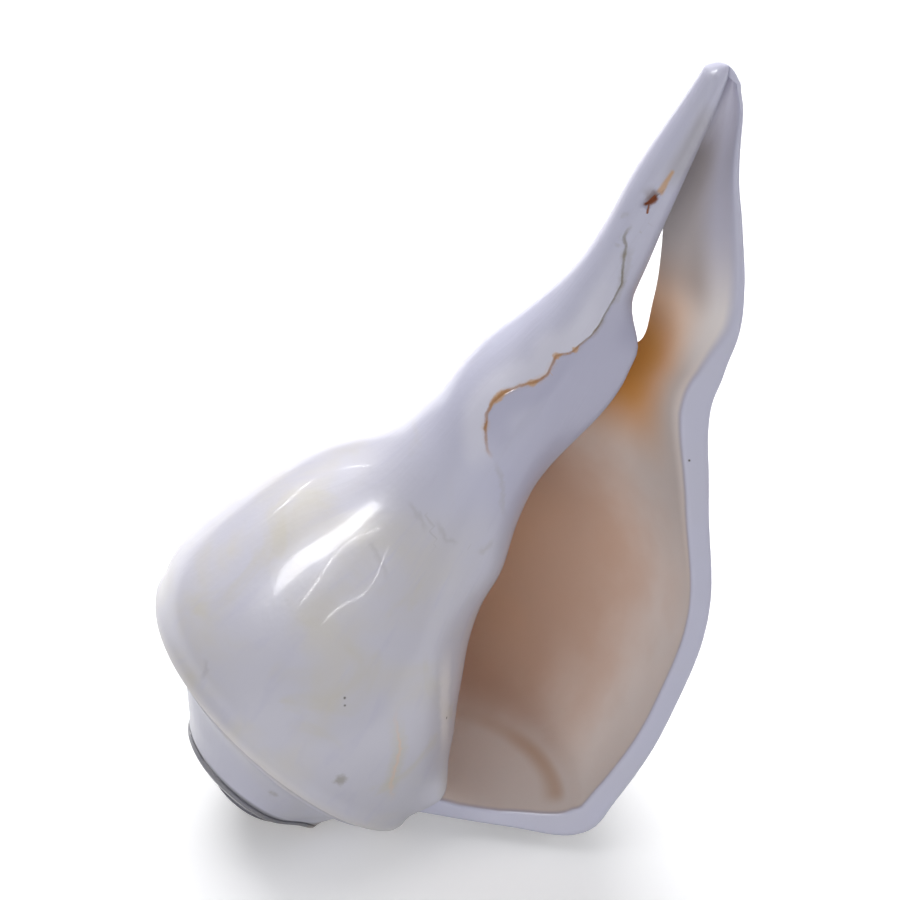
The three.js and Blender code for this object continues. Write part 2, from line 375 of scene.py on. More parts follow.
PLATE_CORNER = Dab((8.6, 0.0, 109.6), 4.4, (2.0, 0.0, 0.0))
INNER_EDGE_SWELLING = Dab((11.2, -4.0, 63.0), 6.4, (1.5, -0.3, 0.0))
CORNER_CALLUS = Dab((24.0, -4.0, 23.0), 5.0, (3.2, -0.4, 0.6))
CORNER_FILLET = Dab((25.0, 0.0, 20.0), 5.5, (-0.6, -4.7, 1.9))
SPIRE_FRONT = Dab((10.2, -8.2, 5.7), 5.5, (-0.6, 0.8, 0.85))
TIP_CORNER = Dab((4.3, 0.9, 157.5), 2.7, (-0.9, 0.0, -0.4))
DABS = (PLATE_CORNER, INNER_EDGE_SWELLING, CORNER_CALLUS, CORNER_FILLET, SPIRE_FRONT, TIP_CORNER)


@dataclass
class Standing:
    """How the grown shell is dabbed, bent at its canal, turned and placed on the table."""

    canal_bend: float = 4.0
    bend_start: float = 105.0
    bend_length: float = 54.0
    mouth_tip: float = math.radians(20.0)
    axis_lean: float = math.radians(34.5)
    lean_back: float = math.radians(-38.5)
    place: Place = (-34.1876, -12.6870, 1.2016)

    def __post_init__(self) -> None:
        """Works out the three turns as one."""
        turn = (
            Euler((self.lean_back, 0, 0)).to_matrix()
            @ Euler((0, self.axis_lean, 0)).to_matrix()
            @ Euler((self.mouth_tip, 0, 0)).to_matrix()
        )
        self.turn = np.array(turn)

    def put(self, points: np.ndarray) -> np.ndarray:
        """Dabs and bends grown points and stands them on the table.

        Args:
            points: points in the growth frame, in millimetres.

        Returns:
            The points in the row frame, in metres.
        """
        bent = np.array(points, float)
        for dab in DABS:
            away = np.sum((points - np.array(dab.place)) ** 2, axis=-1, keepdims=True)
            bent += np.exp(-away / dab.reach**2) * np.array(dab.move)
        share = np.maximum(0.0, (bent[..., 2] - self.bend_start) / self.bend_length)
        bent[..., 0] -= self.canal_bend * share**2
        return (bent @ self.turn.T + np.array(self.place)) * MM


def deselect() -> None:
    """Leaves nothing selected."""
    bpy.ops.object.select_all(action="DESELECT")


def lay_sheet(name: str, points: np.ndarray) -> bpy.types.Object:
    """Adds a grid and draws it over points.

    Args:
        name: the sheet's name.
        points: the places of the grid's corners in the row frame, by row and column.

    Returns:
        The sheet.
    """
    rows, columns = points.shape[:2]
    deselect()
    bpy.ops.mesh.primitive_grid_add(x_subdivisions=rows - 1, y_subdivisions=columns - 1, size=1.0)
    sheet = bpy.context.object
    sheet.name = name
    flat = np.empty(3 * len(sheet.data.vertices), np.float32)
    sheet.data.vertices.foreach_get("co", flat)
    row = np.rint((flat[0::3] + 0.5) * (rows - 1)).astype(int)
    column = np.rint((flat[1::3] + 0.5) * (columns - 1)).astype(int)
    sheet.data.vertices.foreach_set("co", points[row, column].astype(np.float32).ravel())
    return sheet


class Side(Enum):
    """Which face of the wall a place is on."""

    OUTSIDE = 0
    LIP = 1
    INSIDE = 2


@dataclass(frozen=True)
class Mark:
    """Lines drawn on the outside, each through places given as turns and along."""

    name: str
    lines: tuple[tuple[Pair, ...], ...]
    reach: float = 6.0


CRACK = Mark("crack", ((
    (0.6976, 11.598), (0.6956, 11.515), (0.6957, 11.410), (0.7370, 11.364), (0.7584, 11.255),
    (0.7966, 11.090), (0.8361, 10.949), (0.8395, 10.796), (0.8414, 10.519), (0.8399, 10.359),
    (0.8433, 10.215), (0.8358, 9.966), (0.8082, 9.707), (0.8026, 9.598), (0.7825, 9.484),
    (0.7454, 9.323), (0.7538, 9.196), (0.7605, 9.021), (0.7456, 8.888), (0.7310, 8.786),
    (0.7059, 8.635), (0.6892, 8.486), (0.6791, 8.385), (0.6740, 8.214), (0.6814, 8.043),
    (0.7098, 7.885), (0.7363, 7.769), (0.7624, 7.741),
),), 8.0)
CRUST = Mark("crust", (
    ((0.8124, 9.717), (0.8026, 9.598), (0.7950, 9.550)),
    ((0.7700, 9.435), (0.7461, 9.320), (0.7516, 9.243)),
    ((0.7500, 8.900), (0.7314, 8.784), (0.7150, 8.690)),
    ((0.6869, 8.474), (0.6797, 8.383), (0.6744, 8.216), (0.6816, 8.053)),
))
CHINK = Mark("chink", (
    ((0.6866, 11.823), (0.7107, 11.852), (0.7253, 11.893), (0.7388, 11.935), (0.7499, 11.984)),
))
DRIP = Mark("drip", (((0.7262, 11.871), (0.7349, 11.830), (0.7437, 11.789)),))
STREAK = Mark("streak", (
    ((0.7466, 11.991), (0.7482, 12.060), (0.7493, 12.143), (0.7515, 12.201), (0.7500, 12.245)),
))
STAIN = Mark("stain", ((
    (0.8284, 4.633), (0.8355, 4.381), (0.8507, 4.175), (0.8591, 4.012), (0.8634, 3.764),
    (0.8714, 3.412), (0.8846, 3.212), (0.8983, 3.094),
),), 8.0)
HAIRS = Mark("hair", (
    ((0.6120, 11.497), (0.6201, 11.583), (0.6633, 11.674)),
    ((0.6892, 11.321), (0.6966, 11.262)),
    ((0.7688, 11.449), (0.7817, 11.307), (0.8302, 11.071), (0.8690, 10.706), (0.8475, 10.560)),
    ((0.6547, 6.400), (0.6790, 6.460), (0.6979, 6.471), (0.7208, 6.473), (0.7365, 6.422)),
    ((0.6639, 5.785), (0.6783, 5.750), (0.7020, 5.734), (0.7366, 5.676)),
    ((0.6375, 3.173), (0.6476, 3.001), (0.6445, 2.585)),
    ((0.7279, 6.650), (0.7525, 6.632), (0.7783, 6.598), (0.7930, 6.661), (0.8119, 6.694)),
    ((0.8551, 6.826), (0.8718, 6.830), (0.8816, 6.933), (0.8910, 7.054)),
    ((0.7688, 7.746), (0.7957, 7.704), (0.8387, 7.556), (0.8622, 7.412), (0.9082, 7.307)),
))
EDGE_STRIP = Mark("strip", (
    ((0.8853, 5.666), (0.9000, 5.298), (0.9170, 4.896), (0.9412, 4.377), (0.9654, 3.844)),
), 8.0)
MARKS = (CRACK, CRUST, CHINK, DRIP, STREAK, STAIN, HAIRS, EDGE_STRIP)


@dataclass
class Shell:
    """The whole shell as one closed piece.

    Sizes are in millimetres. Starts and ends of the crack and the chink are shares of their lines.
    """

    growth: Growth = field(default_factory=Growth)
    standing: Standing = field(default_factory=Standing)
    turn_steps: int = 168
    lip_steps: tuple[float, ...] = (0.0004, 0.001, 0.0018, 0.003)
    crowding: float = 0.4
    spire_turns: int = 5
    hollow_turns: float = 0.92
    upper_places: tuple[float, ...] = (
        *(0.0, 0.05, 0.1, 0.15, 0.2, 0.28, 0.4, 0.6, 0.8, 1.0, 1.15, 1.3),
        *(1.42, 1.51, 1.58, 1.64, 1.7, 1.76, 1.82, 1.89, 1.97, 2.06, 2.16, 2.3),
    )
    lower_steps: tuple[int, ...] = (4, 9, 12, 13, 15, 13, 13, 10, 9, 9, 10)
    lip_rows: int = 8
    cap_rows: int = 5
    weld_gap: float = 0.002
    slit: tuple[Pair, ...] = (
        (2.0, 130.5),
        (6.6, 122.5),
        (9.2, 114.4),
        (9.2, 110.4),
        (6.6, 110.4),
        (3.0, 118.0),
    )
    slit_depths: Span = (4.0, 24.0)
    slit_slope: float = math.tan(math.radians(20.0))
    slit_points: int = 72
    smooth_angle: float = math.radians(38.0)
    fine_band: float = 1.3
    fine_cuts: int = 2
    mark_depth: float = 0.5
    mark_overrun: float = 1.0
    glaze_step: float = 0.3
    glaze_edge: Span = (-0.15, 0.25)
    glaze_fade: float = 3.0
    crack_start: Span = (0.0, 0.08)
    crack_end: Span = (0.9, 1.0)
    crack_depth: float = 0.22
    crack_width: float = 0.22
    chink_start: Span = (-0.3, 0.3)
    chink_end: Span = (0.85, 1.5)
    chink_depth: float = 1.4
    chink_slope: float = 1.5
    chink_drop: float = 0.4
    sheets: list[bpy.types.Object] = field(default_factory=list)
    places: list[np.ndarray] = field(default_factory=list)
    labels: list[np.ndarray] = field(default_factory=list)
    cells: list[np.ndarray] = field(default_factory=list)
    sides: list[np.ndarray] = field(default_factory=list)

    def steps_round(self) -> np.ndarray:
        """Sets out places round one turn, closer together near the lip.

        Returns:
            The places in turns.
        """
        even = np.arange(self.turn_steps) / self.turn_steps
        crowded = even - self.crowding * np.sin(2.0 * math.pi * even) / (2.0 * math.pi)
        return np.unique(np.concatenate([crowded, self.lip_steps]))

    def lower_places(self) -> np.ndarray:
        """Sets out places along the outline from the seat to the tip.

        Returns:
            The places.
        """
        marks = [self.growth.seat, *np.arange(self.growth.corner, TIP + 0.5)]
        runs = [
            np.linspace(start, end, count, endpoint=False)
            for start, end, count in zip(marks, marks[1:], self.lower_steps)
        ]
        return np.concatenate([*runs, [TIP]])

    def lay(self, name: str, points: np.ndarray, turns: np.ndarray, along: np.ndarray, side: Side) -> None:
        """Lays one sheet of the surface and notes what each of its places is.

        Args:
            name: the sheet's name.
            points: its places in the growth frame.
            turns: turns behind the lip of each place.
            along: place along the outline of each place.
            side: the face of the wall that it covers.
        """
        put = self.standing.put(points)
        self.sheets.append(lay_sheet(name, put))
        shape = points.shape[:2]
        round_coil = np.broadcast_to(turns, shape)
        behind = 2.0 * math.pi * np.hypot(points[..., 0], points[..., 1]) * (round_coil % 1.0)
        depth = behind if side is Side.INSIDE else np.zeros(shape)
        label = np.stack([round_coil, np.broadcast_to(along, shape), depth], axis=-1)
        self.places.append(put.reshape(-1, 3))
        self.labels.append(label.reshape(-1, 3))
        centres = (put[1:, 1:] + put[:-1, 1:] + put[1:, :-1] + put[:-1, :-1]) / 4.0
        self.cells.append(centres.reshape(-1, 3))
        self.sides.append(np.full(centres[..., 0].size, float(side.value)))

    def build(self) -> bpy.types.Object:
        """Grows the shell, closes it, cuts the slit and wears the flats it stands on.

        Returns:
            The shell.
        """
        self.grow()
        shell = self.weld()
        self.cut(shell, self.slit_cutter())
        self.cut(shell, self.table())
        self.mark(shell)
        self.refine(shell)
        self.draw_marks(shell)
        self.relieve(shell)
        self.polish(shell)
        return shell

    def grow(self) -> None:
        """Lays the sheets of the outside, the hollow, the lip and the ends."""
        law = self.growth
        ring = self.steps_round()
        count = len(ring)
        spire = np.concatenate([ring + k for k in range(self.spire_turns)] + [[self.spire_turns]])
        upper = np.array([*self.upper_places, law.seat]) * (law.seat_at(spire - 1.0) / law.seat)[:, None]
        top = law.outside(spire, upper)
        top[:, 0] = self.seat_line(spire + 1.0)
        self.lay("spire", top, spire[:, None], upper, Side.OUTSIDE)

        once = np.append(ring, 1.0)
        lower = self.lower_places()
        body = law.outside(once, lower)
        self.lay("last_whorl", body, once[:, None], lower, Side.OUTSIDE)

        hollow = once[once <= self.hollow_turns]
        first = self.lip_rows
        core = self.pillar_places(hollow, lower[first:])
        pillar = law.shoaled(law.outside(hollow + 1.0, core), law.outside(np.ones(len(hollow)), core), core)
        self.lay("pillar", pillar, hollow[:, None] + 1.0, core, Side.INSIDE)

        across = np.concatenate([upper[0, 1:-1], lower])
        inner = np.concatenate([pillar[:, :1], law.inside(hollow, across, pillar)], axis=1)
        across = np.concatenate([[0.0], across])
        self.lay("wall", inner, hollow[:, None], across, Side.INSIDE)
        canal = np.stack([inner[:, -1], pillar[:, -1]], axis=1)
        self.lay("canal_floor", canal, hollow[:, None], TIP, Side.INSIDE)

        edge = np.concatenate([top[0, :-1], body[0]], axis=0)
        share = np.linspace(0.0, 1.0, self.lip_rows + 1)[:, None, None]
        lip = inner[0] * (1.0 - share) + edge * share
        lip[:, 0] = body[-1, first::-1]
        self.lay("lip", lip, 0.0, across, Side.LIP)

        rim = np.concatenate([body[:, -1], lip[:, -1]])
        self.cap("canal_tip", rim, np.array([0.0, 0.0, law.length]), TIP, Side.OUTSIDE)
        last = np.concatenate([self.seat_line(self.spire_turns + once)[::-1], top[-1, -2::-1]])
        self.cap("apex", last, np.zeros(3), 0.0, Side.OUTSIDE)
        end = np.concatenate([inner[-1], pillar[-1, :0:-1], inner[-1, :1]])
        middle = (inner[-1, inner.shape[1] // 2] + pillar[-1, pillar.shape[1] // 2]) / 2.0
        self.cap("hollow_end", end, middle, law.corner, Side.INSIDE)
        LOG.info("laid %d sheets, %d places round a turn", len(self.sheets), count)

    def pillar_places(self, turns: np.ndarray, first: np.ndarray) -> np.ndarray:
        """Places along the pillar that the hollow bares.

        Args:
            turns: places round the coil.
            first: the places at the mouth, where the callus covers the pillar's foot.

        Returns:
            The places, by turn and place.
        """
        law = self.growth
        start = law.corner + (first[0] - law.corner) * (1.0 - smooth(turns, *law.callus_turns))[:, None]
        bared = start + (first - first[0]) * (TIP - start) / (TIP - first[0])
        return law.within(turns, bared)

    def seat_line(self, turns: np.ndarray) -> np.ndarray:
        """The line along which the next whorl sits on this one."""
        return self.growth.outside(turns, self.growth.seat_at(turns - 1.0)[:, None])[:, 0]

    def cap(self, name: str, rim: np.ndarray, middle: np.ndarray, along: float, side: Side) -> None:
        """Closes a rim with a low dome.

        Args:
            name: the sheet's name.
            rim: the points round the opening.
            middle: the top of the dome.
            along: place along the outline that the dome counts as.
            side: the face of the wall that it covers.
        """
        rim = np.concatenate([rim, rim[:1]]) if np.any(rim[0] != rim[-1]) else rim
        share = np.linspace(1.0, 0.0, self.cap_rows + 1)[None, :, None]
        dome = rim[:, None] * share + middle * (1.0 - share)
        dome[..., 2:] = rim[:, None, 2:] * share**2 + middle[2] * (1.0 - share**2)
        self.lay(name, dome, 0.0, along, side)

    def weld(self) -> bpy.types.Object:
        """Joins the sheets into one closed mesh.

        Returns:
            The shell.
        """
        deselect()
        for sheet in self.sheets:
            sheet.select_set(True)
        bpy.context.view_layer.objects.active = self.sheets[0]
        bpy.ops.object.join()
        shell = bpy.context.object
        shell.name = "conch_shell"
        shell.data.name = "conch_shell"
        bpy.ops.object.mode_set(mode="EDIT")
        bpy.ops.mesh.select_all(action="SELECT")
        bpy.ops.mesh.remove_doubles(threshold=self.weld_gap * MM)
        bpy.ops.mesh.normals_make_consistent(inside=False)
        bpy.ops.object.mode_set(mode="OBJECT")
        return shell

    def slit_cutter(self) -> bpy.types.Object:
        """Makes the prism that opens the slit through the back of the canal.

        Returns:
            The prism.
        """
        outline = np.array(self.slit)
        count = len(outline)
        ringed = np.concatenate([outline[-1:], outline, outline[:2]])[None]
        along = 1.0 + np.arange(self.slit_points)[None] * count / self.slit_points
        ring = Growth.spline(ringed, along)[0]
        near, far = self.slit_depths
        across, up = ring[:, 0], ring[:, 1] - near * self.slit_slope
        points = np.stack([across, np.full(len(ring), near), up], axis=-1)
        deselect()
        bpy.ops.mesh.primitive_circle_add(vertices=self.slit_points, fill_type="NGON")
        cutter = bpy.context.object
        cutter.data.vertices.foreach_set("co", self.standing.put(points).astype(np.float32).ravel())
        depth = (far - near) * MM
        through = Matrix(self.standing.turn.tolist()) @ Vector((0.0, depth, -depth * self.slit_slope))
        bpy.ops.object.mode_set(mode="EDIT")
        bpy.ops.mesh.select_all(action="SELECT")
        bpy.ops.mesh.extrude_region_move(TRANSFORM_OT_translate={"value": through})
        bpy.ops.mesh.select_all(action="SELECT")
        bpy.ops.mesh.normals_make_consistent(inside=False)
        bpy.ops.object.mode_set(mode="OBJECT")
        return cutter

    def table(self) -> bpy.types.Object:
        """Makes the block that takes off what lies below the table.

        Returns:
            The block.
        """
        side = 4.0 * self.growth.length * MM
        deselect()
        bpy.ops.mesh.primitive_cube_add(size=side, location=(0.0, 0.0, -side / 2.0))
        return bpy.context.object

    @staticmethod
    def cut(shell: bpy.types.Object, cutter: bpy.types.Object) -> None:
        """Takes the cutter out of the shell and clears it away.

        Args:
            shell: the shell.
            cutter: the closed mesh that is taken out of it.
        """
        deselect()
        bpy.context.view_layer.objects.active = shell
        modifier = shell.modifiers.new("cut", "BOOLEAN")
        modifier.operation = "DIFFERENCE"
        modifier.solver = "MANIFOLD"
        modifier.object = cutter
        bpy.ops.object.modifier_apply(modifier=modifier.name)
        bpy.data.objects.remove(cutter)

    def mark(self, shell: bpy.types.Object) -> None:
        """Notes on the mesh each vertex's turns, along and depth, and each face's side of the wall.

        Args:
            shell: the shell, as cut.
        """
        mesh = shell.data
        labels = np.concatenate(self.labels)
        near = self.nearest(np.concatenate(self.places), [vertex.co for vertex in mesh.vertices])
        for k, name in enumerate(("turns", "along", "depth")):
            attribute = mesh.attributes.new(name, "FLOAT", "POINT")
            attribute.data.foreach_set("value", labels[near, k].astype(np.float32))
        near = self.nearest(np.concatenate(self.cells), [face.center for face in mesh.polygons])
        attribute = mesh.attributes.new("side", "FLOAT", "FACE")
        attribute.data.foreach_set("value", np.concatenate(self.sides)[near].astype(np.float32))

    @staticmethod
    def nearest(known: np.ndarray, asked: list[Vector]) -> list[int]:
        """Finds the nearest known places.

        Args:
            known: the known places, as rows.
            asked: the places asked for.

        Returns:
            Which known place is nearest to each one asked for.
        """
        tree = kdtree.KDTree(len(known))
        for k, place in enumerate(known):
            tree.insert(place, k)
        tree.balance()
        return [tree.find(place)[1] for place in asked]

    def on_outside(self, turns: float, along: float) -> np.ndarray:
        """The point of the outside at these turns and this place along, in the row frame."""
        return self.standing.put(self.growth.outside(np.array([turns]), np.array([along]))[0, 0])

    def mark_lines(self, mark: Mark) -> list[np.ndarray]:
        """The lines of a mark as points in the row frame."""
        return [np.array([self.on_outside(*place) for place in line]) for line in mark.lines]

    def refine(self, shell: bpy.types.Object) -> None:
        """Divides the faces beside the crack, the chink, its drip and its streak more finely.

        Args:
            shell: the shell, with its notes.
        """
        mesh = shell.data
        centres = self.read(mesh.polygons, "center", 3)
        chosen = np.zeros(len(centres), bool)
        for mark in (CRACK, CHINK, DRIP, STREAK):
            for line in self.mark_lines(mark):
                for start, end in zip(line, line[1:]):
                    chosen |= self.offset(centres, start, end)[1] < self.fine_band * MM
        deselect()
        shell.select_set(True)
        bpy.context.view_layer.objects.active = shell
        bpy.ops.object.mode_set(mode="EDIT")
        bpy.ops.mesh.select_mode(type="FACE")
        bpy.ops.mesh.select_all(action="DESELECT")
        bpy.ops.object.mode_set(mode="OBJECT")
        mesh.polygons.foreach_set("select", chosen)
        bpy.ops.object.mode_set(mode="EDIT")
        bpy.ops.mesh.subdivide(number_cuts=self.fine_cuts)
        bpy.ops.object.mode_set(mode="OBJECT")

    @staticmethod
    def read(items: bpy.types.bpy_prop_collection, name: str, width: int) -> np.ndarray:
        """Reads one vector of every item.

        Args:
            items: the mesh's vertices or faces.
            name: the vector's name.
            width: how many numbers it has.

        Returns:
            The vectors as rows.
        """
        flat = np.empty(width * len(items), np.float32)
        items.foreach_get(name, flat)
        return flat.reshape(-1, width).astype(float)

    @staticmethod
    def offset(
        points: np.ndarray, start: np.ndarray, end: np.ndarray
    ) -> tuple[np.ndarray, np.ndarray, np.ndarray]:
        """How points lie beside a straight run.

        Args:
            points: the points.
            start: where the run starts.
            end: where it ends.

        Returns:
            The way from the run to each point, its length and how far along the run the point lies.
        """
        run = end - start
        share = (points - start) @ run / (run @ run)
        away = points - start - np.clip(share, 0.0, 1.0)[:, None] * run
        return away, np.linalg.norm(away, axis=1), share

    def draw_marks(self, shell: bpy.types.Object) -> None:
        """Notes on the mesh how each vertex lies to each mark.

        "Off" is how far beside the mark it is, in millimetres and more than 0 on one side, "run" is
        how far along the mark's line it is, and "gap" is its distance as a share of the mark's reach.

        Args:
            shell: the shell, as refined.
        """
        mesh = shell.data
        points = self.read(mesh.vertices, "co", 3)
        normals = self.read(mesh.vertices, "normal", 3)
        depth = self.noted(mesh, "depth")
        for mark in MARKS:
            beside = np.full(len(points), mark.reach)
            along = np.full(len(points), -1.0)
            least = np.full(len(points), mark.reach)
            for line in self.mark_lines(mark):
                pieces = len(line) - 1
                for k, (start, end) in enumerate(zip(line, line[1:])):
                    away, length, share = self.offset(points, start, end)
                    near = (length / MM < least) & (depth < self.mark_depth)
                    side = np.sign(np.sum(np.cross(end - start, normals) * away, axis=1))
                    low = -self.mark_overrun if k == 0 else 0.0
                    high = 1.0 + self.mark_overrun if k == pieces - 1 else 1.0
                    beside[near] = (length / MM * side)[near]
                    along[near] = ((k + np.clip(share, low, high)) / pieces)[near]
                    least[near] = length[near] / MM
            for part, values in (("off", beside), ("run", along), ("gap", least / mark.reach)):
                attribute = mesh.attributes.new(f"{mark.name}_{part}", "FLOAT", "POINT")
                attribute.data.foreach_set("value", values.astype(np.float32))

    def relieve(self, shell: bpy.types.Object) -> None:
        """Raises the broken glaze beside the crack and sinks the crack and the chink.

        Args:
            shell: the shell, with its marks drawn.
        """
        mesh = shell.data
        points = self.read(mesh.vertices, "co", 3)
        normals = self.read(mesh.vertices, "normal", 3)
        run, off = self.noted(mesh, "crack_run"), self.noted(mesh, "crack_off")
        held = smooth(run, *self.crack_start) * (1.0 - smooth(run, *self.crack_end))
        step = smooth(off, *self.glaze_edge) * np.exp(-np.maximum(off, 0.0) / self.glaze_fade)
        height = held * (self.glaze_step * step - self.crack_depth * bell(off, 0.0, self.crack_width))
        run, off = self.noted(mesh, "chink_run"), self.noted(mesh, "chink_off")
        held = smooth(run, *self.chink_start) * (1.0 - smooth(run, *self.chink_end))
        reach = np.where(off < 0.0, self.chink_slope, self.chink_drop)
        height -= self.chink_depth * held * bell(off, 0.0, reach)
        moved = points + normals * height[:, None] * MM
        mesh.vertices.foreach_set("co", moved.astype(np.float32).ravel())
        mesh.update()

    @staticmethod
    def noted(mesh: bpy.types.Mesh, name: str) -> np.ndarray:
        """Reads what the mesh notes at each vertex.

        Args:
            mesh: the mesh.
            name: the note's name.

        Returns:
            One value for each vertex.
        """
        values = np.empty(len(mesh.vertices), np.float32)
        mesh.attributes[name].data.foreach_get("value", values)
        return values

    def polish(self, shell: bpy.types.Object) -> None:
        """Shades the shell smooth up to its suture and lip.

        Args:
            shell: the shell, as relieved.
        """
        deselect()
        shell.select_set(True)
        bpy.context.view_layer.objects.active = shell
        bpy.ops.object.shade_smooth_by_angle(angle=self.smooth_angle)


Socket = bpy.types.NodeSocket
Feed = Socket | float | tuple[float, ...]
Colour = tuple[float, float, float, float]


@dataclass(frozen=True)
class Mottle:
    """Cloudy noise: how fine it is, the span of it that counts and the values that span is drawn out to."""

    scale: float
    span: Span
    values: Span = (0.0, 1.0)
    detail: float = 3.0
    distortion: float = 0.0


@dataclass(frozen=True)
class Zone:
    """Where a tint lies: the spans of along, turns and depth over which it comes in and goes out."""

    along_in: Span
    along_out: Span
    strength: float = 1.0
    turns_in: Span | None = None
    depth_in: Span | None = None
    depth_out: Span | None = None


@dataclass(frozen=True)
class Stroke:
    """How a mark's lines are drawn, in millimetres.

    The width is half of the line's solid part, the soft part is its fading edge, and the line strays
    from its course by up to the wander. Each end fades over a share of the line's length.
    """

    mark: Mark
    width: float
    soft: float
    wander: float
    fade: float = 0.08
    strength: float = 1.0


class Bench:
    """Sets out the shader nodes of one material and joins them."""

    grain: float = 900.0
    near_mark: Span = (0.45, 0.75)
    line_overlap: float = 0.01
    spot_core: float = 0.2

    def __init__(self, name: str) -> None:
        """Starts a material with only its main shader.

        Args:
            name: the material's name.
        """
        self.material = bpy.data.materials.new(name)
        self.material.use_nodes = True
        self.tree = self.material.node_tree
        self.shader = self.tree.nodes["Principled BSDF"]
        self.place = self.node("ShaderNodeTexCoord", {}).outputs["Object"]

    def node(self, kind: str, feeds: dict[str | int, Feed], **settings: str | bool) -> bpy.types.Node:
        """Adds a node.

        Args:
            kind: the node's type.
            feeds: what each of its inputs takes, a value or another node's output.
            settings: its other settings.

        Returns:
            The node.
        """
        node = self.tree.nodes.new(kind)
        for name, value in settings.items():
            setattr(node, name, value)
        for name, value in feeds.items():
            self.feed(node.inputs[name], value)
        return node

    def feed(self, socket: Socket, value: Feed) -> None:
        """Gives an input its value or its link.

        Args:
            socket: the input.
            value: a value, or another node's output.
        """
        if isinstance(value, bpy.types.NodeSocket):
            self.tree.links.new(value, socket)
        else:
            socket.default_value = value

    def read(self, name: str) -> Socket:
        """What the mesh notes under a name."""
        return self.node("ShaderNodeAttribute", {}, attribute_name=name).outputs["Fac"]

    def maths(self, operation: str, first: Feed, second: Feed = 0.0) -> Socket:
        """One sum on two values."""
        return self.node("ShaderNodeMath", {0: first, 1: second}, operation=operation).outputs[0]

    def times(self, first: Socket, *others: Feed) -> Socket:
        """The product of some values.

        Args:
            first: the first value.
            others: what it is multiplied by.

        Returns:
            The product.
        """
        for other in others:
            first = self.maths("MULTIPLY", first, other)
        return first

    def rise(self, value: Feed, low: float, high: float, start: float = 0.0, end: float = 1.0) -> Socket:
        """A smooth rise from start at low to end at high."""
        feeds = {"Value": value, "From Min": low, "From Max": high, "To Min": start, "To Max": end}
        return self.node("ShaderNodeMapRange", feeds, interpolation_type="SMOOTHSTEP").outputs["Result"]

    def fall(self, value: Feed, low: float, high: float, start: float = 1.0) -> Socket:
        """A smooth fall from start at low to nothing at high."""
        return self.rise(value, low, high, start, 0.0)

    def hump(self, value: Feed, up: Span, down: Span, top: float = 1.0) -> Socket:
        """A smooth rise over one span of a value and a fall over a later one."""
        return self.times(self.rise(value, *up), self.fall(value, *down, top))

    def blend(self, share: Feed, first: Feed, second: Feed) -> Socket:
        """Mixes two colours."""
        return self.node("ShaderNodeMix", {0: share, 6: first, 7: second}, data_type="RGBA").outputs[2]

    def noise(self, place: Feed, scale: float, detail: float = 3.0, distortion: float = 0.0) -> Socket:
        """Cloudy noise from 0 to 1."""
        feeds = {"Vector": place, "Scale": scale, "Detail": detail, "Distortion": distortion}
        return self.node("ShaderNodeTexNoise", feeds).outputs["Fac"]

    def mottle(self, mottle: Mottle) -> Socket:
        """Cloudy noise drawn out to a mottle's values."""
        noise = self.noise(self.place, mottle.scale, mottle.detail, mottle.distortion)
        return self.rise(noise, *mottle.span, *mottle.values)

    def zone(self, zone: Zone) -> Socket:
        """How strong a zone's tint is.

        Args:
            zone: the zone.

        Returns:
            The tint's share at each place.
        """
        share = self.hump(self.read("along"), zone.along_in, zone.along_out, zone.strength)
        if zone.turns_in is not None:
            share = self.times(share, self.rise(self.read("turns"), *zone.turns_in))
        if zone.depth_in is not None:
            share = self.times(share, self.rise(self.read("depth"), *zone.depth_in))
        if zone.depth_out is not None:
            share = self.times(share, self.fall(self.read("depth"), *zone.depth_out))
        return share

    def stray(self, most: float) -> Socket:
        """A fine uneven push either way, of up to the most given."""
        return self.times(self.maths("SUBTRACT", self.noise(self.place, self.grain), 0.5), 2.0 * most)

    def near(self, mark: Mark, span: Span) -> Socket:
        """A fall from 1 beside a mark to 0, over a span of its reach."""
        return self.fall(self.read(f"{mark.name}_gap"), *span)

    def line(self, stroke: Stroke, width: Feed | None = None) -> Socket:
        """Where a mark's lines are, from 0 to the stroke's strength.

        Args:
            stroke: how the lines are drawn.
            width: half of the line's width in millimetres, where it isn't the stroke's own.

        Returns:
            The share of the line at each place.
        """
        name, fade = stroke.mark.name, stroke.fade
        strayed = self.maths("ADD", self.read(f"{name}_off"), self.stray(stroke.wander))
        solid = stroke.width if width is None else width
        over = self.maths("SUBTRACT", self.maths("ABSOLUTE", strayed), solid)
        ends = (-self.line_overlap, fade), (1.0 - fade, 1.0 + self.line_overlap)
        held = self.times(self.hump(self.read(f"{name}_run"), *ends), self.near(stroke.mark, self.near_mark))
        return self.times(self.fall(over, 0.0, stroke.soft), held, stroke.strength)

    def spot(self, place: tuple[float, ...], reach: float, ragged: float) -> Socket:
        """Where a spot is, from 0 to 1.

        Args:
            place: its middle in the row frame, in metres.
            reach: how far it reaches, in millimetres.
            ragged: how uneven its edge is, in millimetres.

        Returns:
            The share of the spot at each place.
        """
        away = self.node("ShaderNodeVectorMath", {0: self.place, 1: place}, operation="DISTANCE")
        uneven = self.maths("ADD", away.outputs["Value"], self.stray(ragged * MM))
        return self.fall(uneven, self.spot_core * reach * MM, reach * MM)


